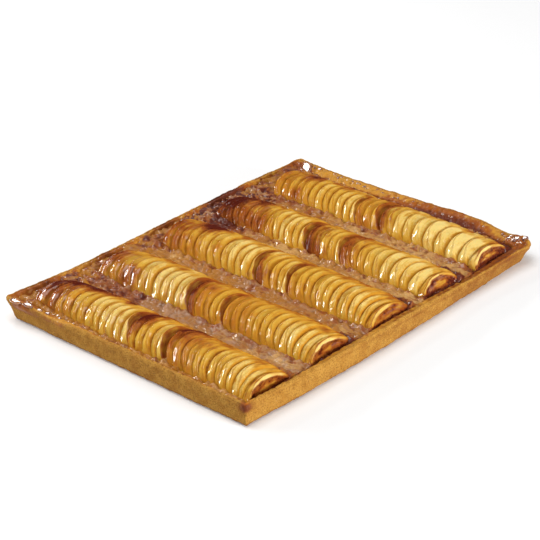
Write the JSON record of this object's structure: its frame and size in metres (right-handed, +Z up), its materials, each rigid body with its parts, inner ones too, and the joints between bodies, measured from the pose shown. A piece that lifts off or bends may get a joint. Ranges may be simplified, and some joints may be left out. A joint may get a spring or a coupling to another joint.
{
  "type": "french apple tart",
  "caption": "Large rectangular French apple tart: a shallow shortcrust tray of apple compote under rows of glazed, overlapping half-moon apple slices.",
  "frame": {"origin": "middle of the tart's footprint, on the surface that it rests on", "axes": "+X along the long side, across the rows of slices; +Y along the rows, towards their first slices; +Z up"},
  "size_m": [0.3848, 0.2898, 0.0343],
  "materials": {
    "crust": "matt, sandy golden-brown baked shortcrust with fine pores",
    "compote": "moist glossy brown apple compote with darker caramelised spots",
    "apple": "golden baked apple under a clear wet glaze, browned at the slice edges"
  },
  "bodies": {
    "root": {"pastry_case": "crust", "apple_compote": "compote", "apple_fan_1_left": "apple", "apple_fan_1_middle": "apple", "apple_fan_1_right": "apple", "apple_fan_2_left": "apple", "apple_fan_2_middle": "apple", "apple_fan_2_right": "apple", "apple_fan_3_left": "apple", "apple_fan_3_middle": "apple", "apple_fan_3_right": "apple", "apple_fan_4_left": "apple", "apple_fan_4_middle": "apple", "apple_fan_4_right": "apple", "apple_fan_5_left": "apple", "apple_fan_5_middle": "apple", "apple_fan_5_right": "apple"}
  },
  "joints": []
}
